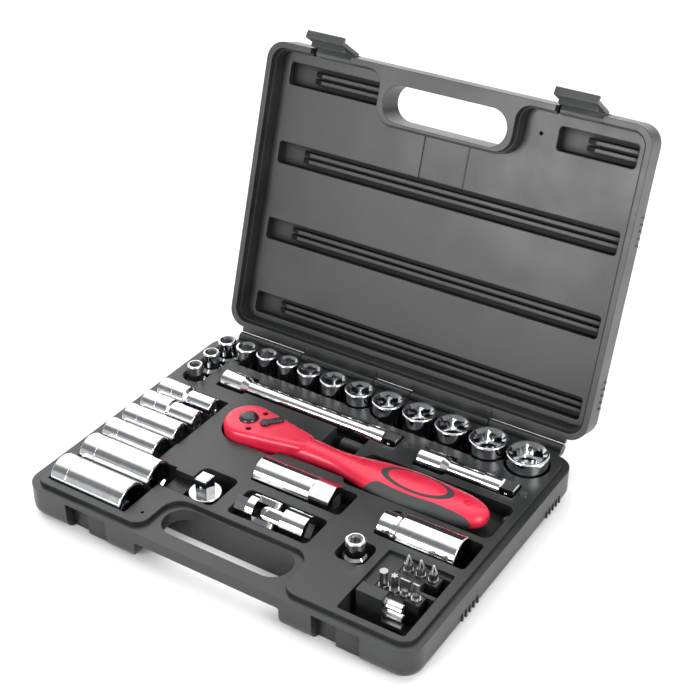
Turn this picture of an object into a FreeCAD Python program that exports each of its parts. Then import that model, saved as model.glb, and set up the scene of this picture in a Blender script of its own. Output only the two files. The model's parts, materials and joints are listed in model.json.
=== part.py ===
import FreeCAD, Part
import os
import re

# A 3/8 inch socket wrench set in a moulded case that stands open, in millimetres.
# X runs along the front edge from left to right, Y from the handle edge to the hinge, Z up.
# The origin is the middle of the face that the case stands on.

ROW_SOCKETS = ("09", "10", "11", "12", "13", "14", "15", "16", "17", "19", "21")
SIDE_SOCKETS = ("06", "07", "08")
DEEP_SOCKETS = ("08", "10", "12", "13", "17", "19")
HANDLE_SECTIONS = ("01", "02", "03", "04", "05", "06", "07", "08", "09", "10", "11", "12")

SIZES = {
    # case base
    "case_width": 310, "case_depth": 226, "rim_height": 25, "tray_rise": 3,
    "corner_radius": 14, "bottom_rounding": 9, "rim_band": 5.3, "tray_corner": 10, "tray_floor": 3,
    "slot_length": 101, "slot_width": 27.5, "handle_bar": 11.6, "bar_thickness": 9,
    "bay_width": 112, "bay_margin": 3.2, "bay_corner": 14, "bay_mouth": 10,
    "finger_gap": 116, "finger_gap_rounding": 1.5, "foot_rounding": 9,
    "side_step": 0.8, "side_step_height": 12, "side_step_inset": 24,
    "rib_group_front": -40, "rib_group_back": 80, "rib_pitch": 5, "rib_width": 1.6, "rib_bottom": 4.5,
    "blow_hole": 2.4, "blow_hole_x": -63.5, "blow_hole_y": -96,
    "nub_radius": 4, "nub_rise": 2.2,
    # lid
    "lid_depth": 24, "lid_rounding": 6, "lid_skin": 1.2, "lid_gap": 0.3, "lid_panel_depth": 15,
    "lid_seat": 1, "lid_seat_depth": 4.5, "lid_step": 2, "lid_open_angle": 107.5,
    "channel_width": 17, "channel_depth": 7, "channel_pitch": 61, "channel_first": 19.6,
    "channel_reach": 142, "channel_corner": 2.5, "ridge_width": 3, "ridge_height": 4,
    "ridge_spacing": 5.2, "ridge_start": 20, "ridge_ramp": 7, "ridge_toe": 0.2,
    "front_channel_left": 80, "front_channel_right": 59,
    "panel_strip": 37, "panel_strip_depth": 0.6, "lid_hole_x": 70, "lid_hole_reach": 203,
    # hinge
    "hinge_offset": 8.2, "hinge_barrel": 8, "hinge_pin": 3, "hinge_half_length": 141,
    "knuckle_inner": 16, "knuckle_outer": 82, "knuckle_gap": 0.8, "hinge_fit": 0.06,
    "hinge_web": 3.6, "hinge_lip_room": 0.5,
    # latches
    "latch_spread": 100, "latch_width": 32, "latch_recess": 35, "latch_recess_depth": 7,
    "latch_recess_height": 18, "catch_depth": 4.6, "catch_deep": 8, "catch_deep_width": 15,
    "latch_lip": 2.4, "latch_inset": 3.5, "latch_pivot_height": 9, "latch_hook_inset": 2,
    "latch_barrel": 6, "latch_pin": 2.4, "latch_pin_bury": 3, "latch_fit": 0.06, "latch_plate": 3,
    "latch_standoff": 0.4, "latch_drop": 15, "latch_hook": 4.5, "latch_hook_reach": 3.3,
    "latch_hook_room": 0.5, "latch_tab": 2.5, "latch_tab_reach": 2.6, "latch_open_angle": 20,
    # fits between the tools and the tray
    "pocket_clearance": 0.8, "well_clearance": 1.4, "floor_clearance": 0.3, "finger_room": 5.5,
    "pocket_corner": 2, "trough_corner": 1, "plug_corner": 3, "joint_corner": 4, "handle_corner": 6,
    "rail_corner": 0.6,
    # drive square shared by the tools
    "drive_square": 9.5, "drive_clearance": 0.12, "drive_depth": 11, "stud_length": 11,
    "detent_ball": 3, "stud_edge": 1,
    # sockets that stand upright
    "socket_height": 26, "socket_rise": 10, "socket_gap": 2.3, "socket_foot": 17,
    "socket_foot_height": 11, "hex_depth": 11, "rim_chamfer": 1, "socket_edge": 1.1,
    "mouth_share": 0.4, "mouth_slope": 0.5,
    "row_start": -116.6, "row_back": 103.9, "channel_floor_rise": 6,
    "side_column": -134.8, "side_first": 54, "side_pitch": 20.3,
    "flats_06": 6, "flats_07": 7, "flats_08": 8, "flats_09": 9, "flats_10": 10, "flats_11": 11,
    "flats_12": 12, "flats_13": 13, "flats_14": 14, "flats_15": 15, "flats_16": 16,
    "flats_17": 17, "flats_19": 19, "flats_21": 21,
    "outside_06": 12, "outside_07": 12.6, "outside_08": 14, "outside_09": 17, "outside_10": 17,
    "outside_11": 17.2, "outside_12": 19, "outside_13": 20.5, "outside_14": 22,
    "outside_15": 24, "outside_16": 25, "outside_17": 26, "outside_19": 28, "outside_21": 30,
    # deep sockets that lie along the left side
    "deep_rise": 10, "deep_ring": 13, "deep_ring_depth": 0.4, "deep_hex_depth": 24,
    "deep_left_short": -144.5, "deep_left_long": -141.5,
    "deep_flats_08": 8, "deep_flats_10": 10, "deep_flats_12": 12,
    "deep_flats_13": 13, "deep_flats_17": 17, "deep_flats_19": 19,
    "deep_outside_08": 14, "deep_outside_10": 15.4, "deep_outside_12": 19,
    "deep_outside_13": 20, "deep_outside_17": 26, "deep_outside_19": 28,
    "deep_foot_08": 18, "deep_foot_10": 18, "deep_foot_12": 19,
    "deep_foot_13": 20, "deep_foot_17": 26, "deep_foot_19": 28,
    "deep_length_08": 48, "deep_length_10": 48, "deep_length_12": 48,
    "deep_length_13": 47, "deep_length_17": 62, "deep_length_19": 62,
    "deep_foot_length": 24, "deep_gap": 1.7, "deep_first": 27.2, "deep_bench_rise": 8,
    # spark plug sockets
    "plug_small_flats": 16, "plug_small_outside": 22.6, "plug_small_length": 62,
    "plug_small_hex": 21, "plug_small_hex_length": 16, "plug_small_x": -23.5, "plug_small_y": -16,
    "plug_large_flats": 21, "plug_large_outside": 27, "plug_large_length": 59,
    "plug_large_neck": 21.5, "plug_large_neck_length": 15, "plug_ring": 25.2, "plug_ring_width": 3,
    "plug_groove": 1.4, "plug_large_x": 77, "plug_large_y": -17.5, "plug_through": 6,
    "plug_mouth_room": 0.8, "plug_edge": 0.8, "plug_rise": 10, "plug_hex_depth": 34,
    "insert_wall": 2, "insert_length": 14, "insert_fit": 0.05,
    # extension bars
    "bar_socket": 17, "bar_socket_length": 19, "bar_cone": 5, "bar_shaft": 11.4, "bar_collar": 13.6,
    "bar_collar_length": 13, "bar_rise": 7, "bar_long": 153, "bar_short": 75,
    "bar_long_x": -113, "bar_long_y": 63, "bar_short_x": 61.5, "bar_short_y": 57, "bar_side_room": 3,
    "bar_end_room": 1.6,
    # drive adapter
    "adapter_disc": 23.5, "adapter_height": 14, "adapter_rise": 10.5, "adapter_stud": 12.5,
    "adapter_x": -43.5, "adapter_y": -53.5, "adapter_pocket": 30, "adapter_pocket_corner": 5,
    "adapter_room_front": 1.5, "adapter_room_back": 8, "notch_drop": 7, "notch_room": 5.5,
    # bit adapter
    "bit_adapter_foot": 17, "bit_adapter_head": 13.6, "bit_adapter_height": 25,
    "bit_adapter_foot_height": 12, "bit_adapter_rise": 10.3, "bit_adapter_x": 77, "bit_adapter_y": -53,
    "bit_adapter_pocket": 22.5, "bit_adapter_corner": 6,
    # universal joint
    "joint_outside": 20, "joint_axis_rise": -1.5, "joint_x": 11, "joint_y": -51, "joint_reach": 11,
    "joint_stem": 6, "joint_body": 18, "joint_arm": 4.4, "joint_arm_width": 9, "joint_block": 10,
    "joint_block_room": 0.3, "joint_pin": 4, "joint_pin_fit": 0.08, "joint_side_room": 4,
    # screwdriver bits and their rails
    "bit_flats": 6.35, "bit_length": 25, "bit_shank": 14, "bit_neck": 4.6, "bit_grip": 12.5,
    "bit_fit": 0.1, "bit_rise": 10, "bit_point": 1.6, "bit_key": 5.2, "bit_blade": 1.2, "blade_wide": 7,
    "blade_narrow": 4.6, "flute_size": 2.2, "flute_offset": 2.6, "rail_width": 9, "rail_height": 18.5,
    "rail_margin": 4.6, "rail_clearance": 0.4,
    "back_rail_x": 122.7, "back_rail_y": -48.2, "back_bit_pitch": 9, "back_pit_start": 5.3,
    "middle_rail_x": 119.6, "middle_rail_y": -69, "middle_bit_pitch": 7.8, "middle_pit_start": 6.4,
    "front_rail_x": 118.4, "front_rail_y": -84.4, "front_bit_pitch": 8, "front_rail_floor": 8.8,
    "shelf_drop": 2.2, "shelf_left": 94.5, "shelf_right": 143, "shelf_front": -103, "shelf_back": -39.5,
    "pit_room": 8.5, "shelf_deep_edge": -78.6,
    # ratchet
    "ratchet_x": -60, "ratchet_y": 20.5, "ratchet_drop": 0.5, "head_radius": 18.6, "head_top": 9,
    "head_bottom": 9.5, "head_edge": 4.5, "head_foot_edge": 2, "tail_reach": 46, "tail_radius": 9.4,
    "gear_radius": 10.5, "gear_height": 7.6, "gear_bottom": 6.5, "gear_room": 0.5,
    "gear_bore": 4.2, "hub_radius": 8, "cover_radius": 15, "cover_thickness": 2.2,
    "cover_fit": 0.06, "cover_proud": 0.2, "button_radius": 7, "button_height": 3.4, "button_dome": 2.8,
    "button_travel": 2, "button_fit": 0.12, "button_stem": 4, "lever_x": 14, "lever_hub": 3.6,
    "lever_thickness": 2, "lever_edge": 0.7, "lever_float": 0.2, "lever_reach": 14, "lever_tip": 2.6,
    "lever_shaft": 4.4, "lever_angle": 50, "pawl_front": 3, "pawl_depth": 5.5, "pawl_width": 11,
    "pawl_angle": 12, "pawl_fit": 0.1, "pawl_room": 2.5,
    "screw_x": 7, "screw_spread": 10.6, "screw_head": 4.2, "screw_shank": 2.6,
    "screw_sink": 1.2, "screw_head_height": 1.6, "screw_key": 1.8,
    "grip_start": 105, "grip_end": 188, "grip_inset": 10.8, "grip_top": 7, "grip_round": 12,
    "badge_x": 140, "badge_half_length": 28, "badge_half_width": 10.6, "badge_inner_length": 22.5,
    "badge_inner_width": 8.8, "badge_sink": 3.2, "dimple_x": 179, "dimple_radius": 3.2, "dimple_depth": 1.4,
    "handle_pocket_left": 29, "handle_pocket_right": 144, "handle_pocket_back": 41.5,
    "handle_pocket_front": 2.5, "neck_room": 2, "tail_room": 2.8, "head_room": 1.6, "well_radius": 8.5,
    "hollow_left": -7, "hollow_right": 21, "hollow_front": 30, "hollow_back": 58, "hollow_drop": 17,
    "hollow_bar_radius": 4.5, "hollow_bar_y": 48.4, "hollow_bar_drop": 7, "handle_nub_y": 30,
    "section_at_01": 5, "section_at_02": 20, "section_at_03": 36, "section_at_04": 55,
    "section_at_05": 85, "section_at_06": 104, "section_at_07": 125, "section_at_08": 150,
    "section_at_09": 172, "section_at_10": 184, "section_at_11": 190.5, "section_at_12": 193.3,
    "section_wide_01": 16.5, "section_wide_02": 13.5, "section_wide_03": 10.9, "section_wide_04": 9.6,
    "section_wide_05": 10.2, "section_wide_06": 14.2, "section_wide_07": 17, "section_wide_08": 16.8,
    "section_wide_09": 15, "section_wide_10": 12, "section_wide_11": 8.2, "section_wide_12": 3.2,
    "section_high_01": 8, "section_high_02": 8, "section_high_03": 8.9, "section_high_04": 8.9,
    "section_high_05": 7.6, "section_high_06": 8.4, "section_high_07": 9.8, "section_high_08": 9.8,
    "section_high_09": 9.2, "section_high_10": 8, "section_high_11": 5.6, "section_high_12": 2.2,
}

doc = FreeCAD.newDocument("socket_wrench_set")
sheet = doc.addObject("Spreadsheet::Sheet", "sizes")
for row, (alias, value) in enumerate(SIZES.items(), 1):
    sheet.set(f"A{row}", alias)
    sheet.set(f"B{row}", str(value))
    sheet.setAlias(f"B{row}", alias)
doc.recompute()

STANDING = FreeCAD.Rotation()
LYING = FreeCAD.Rotation(FreeCAD.Vector(0, 1, 0), 90)
LYING_LEFT = FreeCAD.Rotation(FreeCAD.Vector(0, 1, 0), -90)
FACING_X = FreeCAD.Rotation(FreeCAD.Vector(1, 1, 1), 120)
ACROSS = FreeCAD.Rotation(FreeCAD.Vector(0, 0, 1), -90)
BACKWARD = FreeCAD.Vector(-1, 0, 0)
ALONG_Y = FreeCAD.Rotation(FreeCAD.Vector(1, 0, 0), -90)

FRONT = "(-case_depth / 2)"
BACK = "(case_depth / 2)"
TRAY = "(rim_height + tray_rise)"
SLOT_BACK = f"({FRONT} + handle_bar + slot_width)"
HINGE_Y = f"({BACK} + hinge_offset)"
HALF = "(case_width / 2)"
CLEAR = "pocket_clearance"
OVER = 2  # cutting solids run this far past the faces that they open
CUT_TOP = f"({TRAY} + nub_rise + {OVER})"

nodes = []
shell_cuts = []
tray_cuts = []
tray_bumps = []  # solids of the tray that are added after its hollows are cut


def formula(text):
    # names from the table are written bare in this file and get the sheet's name here
    def full_name(word):
        return "sizes." + word[0] if word[0] in SIZES else word[0]
    return re.sub(r"[a-z]\w*", full_name, str(text))


def number(text):
    return float(sheet.evalExpression(formula(text)))


def bind(item, prop, text):
    item.setExpression(prop, formula(text))


def place(item, position, turn=STANDING):
    item.Placement = FreeCAD.Placement(FreeCAD.Vector(), turn)
    for axis, text in zip("xyz", position):
        bind(item, "Placement.Base." + axis, text)
    return item


def solid(kind, name, position, turn=STANDING, **bindings):
    item = doc.addObject(kind, name)
    for prop, text in bindings.items():
        bind(item, prop, text)
    return place(item, position, turn)


def block(name, low, high):
    position = [f"{a}" for a in low]
    lengths = [f"({b}) - ({a})" for a, b in zip(low, high)]
    return solid("Part::Box", name, position, Length=lengths[0], Width=lengths[1], Height=lengths[2])


def rod(name, diameter, length, position, turn=STANDING):
    return solid("Part::Cylinder", name, position, turn, Radius=f"({diameter}) / 2", Height=length)


def cone(name, lower, upper, length, position, turn=STANDING):
    return solid("Part::Cone", name, position, turn,
                 Radius1=f"({lower}) / 2", Radius2=f"({upper}) / 2", Height=length)


def prism(name, sides, flats, length, position, turn=STANDING):
    item = solid("Part::Prism", name, position, turn,
                 Circumradius=f"({flats}) / 2 / cos(180 / {sides})", Height=length)
    item.Polygon = sides
    return item


def drive_hole(name, bottom, top):
    half = "(drive_square / 2 + drive_clearance)"
    return block(name, (f"-{half}", f"-{half}", bottom), (half, half, top))


def fuse(name, pieces):
    item = doc.addObject("Part::MultiFuse", name)
    item.Shapes = pieces
    item.Refine = True
    return item


def cut(name, base, tools):
    item = doc.addObject("Part::Cut", name)
    item.Base = base
    item.Tool = tools[0] if len(tools) == 1 else fuse(name + "_tools", tools)
    item.Refine = True
    return item


def compound(name, pieces):
    item = doc.addObject("Part::Compound", name)
    item.Links = pieces
    return item


def common(name, base, tool):
    item = doc.addObject("Part::Common", name)
    item.Base = base
    item.Tool = tool
    return item


def is_upright(edge):
    first, last = edge.Vertexes[0].Point, edge.Vertexes[-1].Point
    return abs(first.x - last.x) + abs(first.y - last.y) < 1e-6


def is_level(height):
    return lambda edge: all(abs(vertex.Z - height) < 1e-4 for vertex in edge.Vertexes)


def rounded(name, source, *rules):
    # each rule is a test for the edges and the size of their rounding
    doc.recompute()
    item = doc.addObject("Part::Fillet", name)
    item.Base = source
    picked = []
    for index, edge in enumerate(source.Shape.Edges, 1):
        for test, radius in rules:
            if test(edge):
                picked.append((index, number(radius), number(radius)))
                break
    item.Edges = picked
    return item


def pocket(name, low, high, floor, corner="pocket_corner"):
    # a hollow with rounded corners, open to the top of the tray
    body = block(name + "_box", (*low, floor), (*high, CUT_TOP))
    hollow = rounded(name, body, (is_upright, corner))
    tray_cuts.append(hollow)
    return hollow


def sloped(name, source, start, top):
    # a ramp on the end of a ridge that faces left and stands towards -Z
    doc.recompute()
    item = doc.addObject("Part::Chamfer", name)
    item.Base = source
    edge_x, edge_z = number(start), number(top)
    for index, edge in enumerate(source.Shape.Edges, 1):
        if all(abs(v.X - edge_x) < 1e-4 and abs(v.Z - edge_z) < 1e-4 for v in edge.Vertexes):
            item.Edges = [(index, number("ridge_height - ridge_toe"), number("ridge_ramp"))]
    return item


def capsule(name, length, width, centre, bottom, top):
    x, y = centre
    reach = f"(({length}) / 2 - ({width}) / 2)"
    middle = block(name + "_middle", (f"{x} - {reach}", f"{y} - ({width}) / 2", bottom),
                   (f"{x} + {reach}", f"{y} + ({width}) / 2", top))
    ends = [rod(f"{name}_{side}", width, f"({top}) - ({bottom})", (f"{x} {sign} {reach}", y, bottom))
            for side, sign in (("left", "-"), ("right", "+"))]
    return fuse(name, [middle, *ends])


def field(name, outward, shift, bottom, top):
    # the area inside the rim, with a bay in its front edge where the handle is
    half = f"(case_width / 2 - rim_band + {outward})"
    front = f"({FRONT} + rim_band - {outward} + {shift})"
    back = f"({BACK} - rim_band + {outward} + {shift})"
    bay_half = f"(bay_width / 2 - {outward})"
    bay_back = f"({SLOT_BACK} + bay_margin - {outward} + {shift})"
    plate = block(name + "_plate", (f"-{half}", front, bottom), (half, back, top))
    bay = block(name + "_bay", (f"-{bay_half}", f"{front} - {OVER}", f"{bottom} - {OVER}"),
                (bay_half, bay_back, f"{top} + {OVER}"))
    sharp = cut(name + "_sharp", plate, [bay])
    edge_x = number(bay_half) + 1
    middle_y = number(f"({front} + {bay_back}) / 2")
    return rounded(
        name, sharp,
        (lambda edge: is_upright(edge) and abs(edge.Vertexes[0].X) > edge_x,
         f"tray_corner + {outward}"),
        (lambda edge: is_upright(edge) and edge.Vertexes[0].Y > middle_y, f"bay_corner - {outward}"),
        (is_upright, f"bay_mouth + {outward}"))


def finish(label, item, position=("0", "0", "0"), turn=STANDING):
    item.Label = label
    place(item, position, turn)
    nodes.append(item)
    return item


def knuckles(name, sections, gaps, up):
    # barrels of one case half on the hinge axis, with webs back to its wall, and lips between them
    pieces = []
    wall = f"-hinge_offset - {OVER}"
    low, high = ("0", "hinge_web") if up else ("-hinge_web", "0")
    for index, (left, right) in enumerate(sections):
        length = f"({right}) - ({left})"
        pieces.append(rod(f"{name}_barrel_{index}", "hinge_barrel", length, (left, 0, 0), LYING))
        pieces.append(block(f"{name}_web_{index}", (left, wall, low), (right, "0", high)))
    low, high = ("lid_gap", "hinge_web") if up else ("-hinge_web", "-lid_gap")
    for index, (left, right) in enumerate(gaps):
        pieces.append(block(f"{name}_lip_{index}", (left, wall, low),
                            (right, "-hinge_barrel / 2 - hinge_lip_room", high)))
    return pieces


def side_ribs(name, shift, step, rib):
    # a shallow step along each side wall of a case half, with two groups of ribs in it
    steps, ribs = [], []
    for side, sign in (("left", "-"), ("right", "")):
        spans = [(f"{sign}({HALF} - side_step)", f"{sign}({HALF} + {OVER})"),
                 (f"{sign}({HALF} - side_step - {OVER})", f"{sign}{HALF}")]
        step_span, rib_span = [span if sign == "" else span[::-1] for span in spans]
        steps.append(block(f"{name}_step_{side}",
                           (step_span[0], f"{FRONT} + side_step_inset + {shift}", step[0]),
                           (step_span[1], f"{BACK} - side_step_inset + {shift}", step[1])))
        for group in ("front", "back"):
            for index in range(5):
                rib_y = f"rib_group_{group} + {index - 2} * rib_pitch + {shift}"
                ribs.append(block(f"{name}_rib_{side}_{group}_{index}",
                                  (rib_span[0], f"{rib_y} - rib_width / 2", rib[0]),
                                  (rib_span[1], f"{rib_y} + rib_width / 2", rib[1])))
    return steps, ribs


def socket(name, flats, outside, length, foot, foot_length, hex_depth, ring=None):
    # drive end at the bottom, six-sided mouth at the top
    pieces = [rod(name + "_wall", outside, length, (0, 0, 0))]
    if number(foot) > number(outside) + 0.1:
        pieces.append(rod(name + "_foot", foot, foot_length, (0, 0, 0)))
        pieces.append(cone(name + "_shoulder", foot, outside, f"(({foot}) - ({outside})) / 2",
                           (0, 0, foot_length)))
    outer = fuse(name + "_outer", pieces) if len(pieces) > 1 else pieces[0]
    edges = rounded(name + "_eased", outer, (is_level(0), "socket_edge"),
                    (is_level(number(length)), "socket_edge"))
    corners = f"(({flats}) / cos(30))"
    lead_in = f"({corners} + mouth_share * (({outside}) - {corners}))"
    lead_depth = f"(({lead_in} - ({flats})) * mouth_slope)"
    tools = [
        drive_hole(name + "_square", -OVER, "drive_depth"),
        rod(name + "_bore", f"({flats}) * 0.86", f"({length}) - drive_depth + 2",
            (0, 0, "drive_depth - 1")),
        prism(name + "_hex", 6, flats, f"({hex_depth}) + {OVER}", (0, 0, f"({length}) - ({hex_depth})")),
        cone(name + "_mouth", flats, lead_in, lead_depth, (0, 0, f"({length}) - {lead_depth}")),
    ]
    if ring:
        groove = solid("Part::Torus", name + "_ring", (0, 0, ring), Radius1=f"({foot}) / 2",
                       Radius2="deep_ring_depth")
        tools.append(groove)
    return cut(name, edges, tools)


# The case base: a shell with a rim, round feet and a handle bar at the front, filled by the tool tray.
base_block = block("base_block", (f"-{HALF}", FRONT, 0), (HALF, BACK, "rim_height"))
base_shell = rounded("base_shell", base_block, (is_upright, "corner_radius"),
                     (is_level(0), "bottom_rounding"))
shell_cuts.append(field("tray_room", "0", "0", "tray_floor", f"rim_height + {OVER}"))
tray_block = field("tray_block", "0", "0", "tray_floor", TRAY)

BASE_KNUCKLES = (("-hinge_half_length", "-knuckle_outer - knuckle_gap / 2"),
                 ("-knuckle_inner + knuckle_gap / 2", "knuckle_inner - knuckle_gap / 2"),
                 ("knuckle_outer + knuckle_gap / 2", "hinge_half_length"))
LID_KNUCKLES = (("-knuckle_outer + knuckle_gap / 2", "-knuckle_inner - knuckle_gap / 2"),
                ("knuckle_inner + knuckle_gap / 2", "knuckle_outer - knuckle_gap / 2"))
base_hinge = fuse("base_hinge", knuckles("base_knuckle", BASE_KNUCKLES, LID_KNUCKLES, False))
place(base_hinge, (0, HINGE_Y, "rim_height"))

shell_cuts.append(capsule("handle_slot", "slot_length", "slot_width",
                          ("0", f"({FRONT} + handle_bar + slot_width / 2)"), -OVER, CUT_TOP))
finger_gap_block = block("finger_gap_block",
                         ("-finger_gap / 2", f"{FRONT} - {OVER}", -OVER),
                         ("finger_gap / 2", SLOT_BACK, "rim_height - bar_thickness"))
finger_gap_top = number("rim_height - bar_thickness")
finger_gap = rounded(
    "finger_gap", finger_gap_block,
    (lambda edge: is_level(finger_gap_top)(edge)
     and abs(edge.Vertexes[0].X - edge.Vertexes[-1].X) < 1e-6, "finger_gap_rounding"))
shell_cuts.append(finger_gap)
tray_cuts.append(finger_gap)
shell_cuts.append(rod("base_pin_bore", "hinge_pin", f"2 * hinge_half_length + 2 * {OVER}",
                      (f"-hinge_half_length - {OVER}", HINGE_Y, "rim_height"), LYING))
tray_cuts.append(rod("blow_hole", "blow_hole", 6, ("blow_hole_x", "blow_hole_y", f"{TRAY} - 4")))

for side, sign in (("left", "-"), ("right", "")):
    middle = f"{sign}latch_spread"
    recess_left = f"{middle} - latch_recess / 2"
    recess_top = "rim_height - latch_lip"
    shell_cuts.append(block(f"base_latch_{side}", (recess_left, f"{FRONT} - {OVER}", -OVER),
                            (f"{middle} + latch_recess / 2", f"{FRONT} + catch_depth", recess_top)))
    deep_recess = block(f"base_latch_deep_{side}", (recess_left, f"{FRONT} - {OVER}", -OVER),
                        (f"{recess_left} + catch_deep_width", f"{FRONT} + catch_deep", recess_top))
    shell_cuts.append(deep_recess)
    tray_cuts.append(deep_recess)

    foot_x = f"{sign}(finger_gap / 2 + foot_rounding)"
    gap_x = f"{sign}(finger_gap / 2 - {OVER})"
    low_x, high_x = (foot_x, gap_x) if side == "left" else (gap_x, foot_x)
    foot_corner = block(f"foot_corner_{side}", (low_x, f"{FRONT} - {OVER}", -OVER),
                        (high_x, SLOT_BACK, "foot_rounding"))
    foot_round = rod(f"foot_round_{side}", "2 * foot_rounding", "case_depth",
                     (foot_x, f"{FRONT} - 2 * {OVER}", "foot_rounding"), ALONG_Y)
    foot = cut(f"foot_{side}", foot_corner, [foot_round])
    shell_cuts.append(foot)
    tray_cuts.append(foot)

base_steps, base_ribs = side_ribs("base", "0", (-OVER, "side_step_height"),
                                  ("rib_bottom", f"side_step_height + {OVER}"))
shell_cuts += base_steps
base_whole = fuse("base_whole", [base_shell, base_hinge])
finish("case_base", fuse("base", [cut("base_hollowed", base_whole, shell_cuts), *base_ribs]))

# Sockets in the back row stand side by side, their backs in one line.
SOCKET_FLOOR = f"({TRAY} + socket_rise - socket_height)"
row_x = "row_start"
row_places = []
for index, name in enumerate(ROW_SOCKETS):
    if index:
        row_x += f" + outside_{ROW_SOCKETS[index - 1]} / 2 + outside_{name} / 2 + socket_gap"
    row_places.append((name, row_x, f"(row_back - outside_{name} / 2)"))
side_places = [(name, "side_column", f"(side_first + {index} * side_pitch)")
               for index, name in enumerate(SIDE_SOCKETS)]
for name, x, y in row_places + side_places:
    outside = f"outside_{name}"
    foot = "socket_foot" if name in SIDE_SOCKETS else outside
    piece = socket(f"upright_{name}", f"flats_{name}", outside, "socket_height", foot,
                   "socket_foot_height", "hex_depth")
    finish(f"socket_{name}mm", piece, (x, y, SOCKET_FLOOR))
    well_floor = f"({SOCKET_FLOOR} - floor_clearance)"
    tray_cuts.append(rod(f"well_{name}", f"{foot} + 2 * well_clearance", f"{CUT_TOP} - {well_floor}",
                         (x, y, well_floor)))


def socket_trough(name, first, last):
    # a shallower trough that joins the round wells of neighbouring sockets
    first_name, first_x, first_y = first
    last_name, last_x, last_y = last
    reach = f"outside_{last_name} + {CLEAR}"
    pocket(name, (f"{first_x}", f"row_back - {reach}"), (f"{last_x}", f"row_back + {CLEAR}"),
           f"{SOCKET_FLOOR} + channel_floor_rise", "trough_corner")


socket_trough("row_trough_small", row_places[0], row_places[5])
socket_trough("row_trough_large", row_places[6], row_places[9])
pocket("side_trough",
       (f"side_column - socket_foot / 2 - {CLEAR}", "side_first"),
       (f"side_column + socket_foot / 2 + {CLEAR}", "row_back - socket_foot / 2"),
       f"{SOCKET_FLOOR} + channel_floor_rise", "trough_corner")
pocket("corner_trough",
       ("side_column", f"row_back - socket_foot - {CLEAR}"),
       ("row_start", f"row_back + {CLEAR}"), f"{SOCKET_FLOOR} + channel_floor_rise", "trough_corner")

# Deep sockets lie on their sides along the left edge, drive ends to the left.
deep_y = "deep_first"
for index, name in enumerate(DEEP_SOCKETS):
    foot = f"deep_foot_{name}"
    length = f"deep_length_{name}"
    long_one = index >= 4
    left = "deep_left_long" if long_one else "deep_left_short"
    rise = "deep_rise" if long_one else "deep_bench_rise"
    if index:
        deep_y += f" - deep_foot_{DEEP_SOCKETS[index - 1]} / 2 - {foot} / 2 - deep_gap"
    axis = f"({TRAY} + {rise} - {foot} / 2)"
    piece = socket(f"deep_{name}", f"deep_flats_{name}", f"deep_outside_{name}", length, foot,
                   "deep_foot_length", "deep_hex_depth", "deep_ring")
    finish(f"deep_socket_{name}mm", piece, (left, deep_y, axis), LYING)
    reach = f"({foot} / 2 + {CLEAR})"
    start = f"{left} - {CLEAR}"
    run = f"{length} + {CLEAR} + finger_room"
    tray_cuts.append(rod(f"deep_cradle_{name}", f"2 * {reach}", run, (start, deep_y, axis), LYING))
    tray_cuts.append(block(f"deep_walls_{name}", (start, f"{deep_y} - {reach}", axis),
                           (f"{start} + {run}", f"{deep_y} + {reach}", CUT_TOP)))

# Two spark plug sockets with rubber sleeves; the small one has its mouth to the left.
PLUG_SMALL_AXIS = f"({TRAY} + plug_rise - plug_small_outside / 2)"
PLUG_LARGE_AXIS = f"({TRAY} + plug_rise - plug_large_outside / 2)"


def plug_socket(name, flats, outside, length, tail, tail_length):
    # the tail is the slimmer drive end, a solid that stands on the origin
    wall = rod(name + "_wall", outside, f"({length}) - ({tail_length})", (0, 0, tail_length))
    eased = rounded(name + "_eased", wall, (is_level(number(length)), "plug_edge"),
                    (is_level(number(tail_length)), "plug_edge"))
    return cut(name, fuse(name + "_outer", [eased, *tail]), [
        drive_hole(name + "_square", -OVER, "drive_depth"),
        rod(name + "_bore", flats, length, (0, 0, f"drive_depth + {OVER}")),
        prism(name + "_hex", 6, flats, f"plug_hex_depth + {OVER}", (0, 0, f"({length}) - plug_hex_depth")),
        cone(name + "_mouth", flats, f"({flats}) / cos(30) + plug_mouth_room", "rim_chamfer",
             (0, 0, f"({length}) - rim_chamfer")),
        rod(name + "_through", "plug_through", length, (0, 0, 0)),
    ])


def sleeve(name, flats, bottom):
    outside = f"({flats} - 2 * insert_fit)"
    ring = rod(name + "_ring", outside, "insert_length", (0, 0, bottom))
    hole = rod(name + "_hole", f"{outside} - 2 * insert_wall", f"insert_length + 2 * {OVER}",
               (0, 0, f"{bottom} - {OVER}"))
    return cut(name, ring, [hole])


plug_small_tail = [prism("plug_small_grip", 6, "plug_small_hex", "plug_small_hex_length", (0, 0, 0))]
plug_small = plug_socket("plug_small", "plug_small_flats", "plug_small_outside", "plug_small_length",
                         plug_small_tail, "plug_small_hex_length")
PLUG_SMALL_AT = ("plug_small_x + plug_small_length", "plug_small_y", PLUG_SMALL_AXIS)
finish("spark_plug_socket_16mm", plug_small, PLUG_SMALL_AT, LYING_LEFT)
finish("spark_plug_sleeve_16mm", sleeve("plug_small_sleeve", "plug_small_flats", "drive_depth + 4"),
       PLUG_SMALL_AT, LYING_LEFT)

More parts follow.
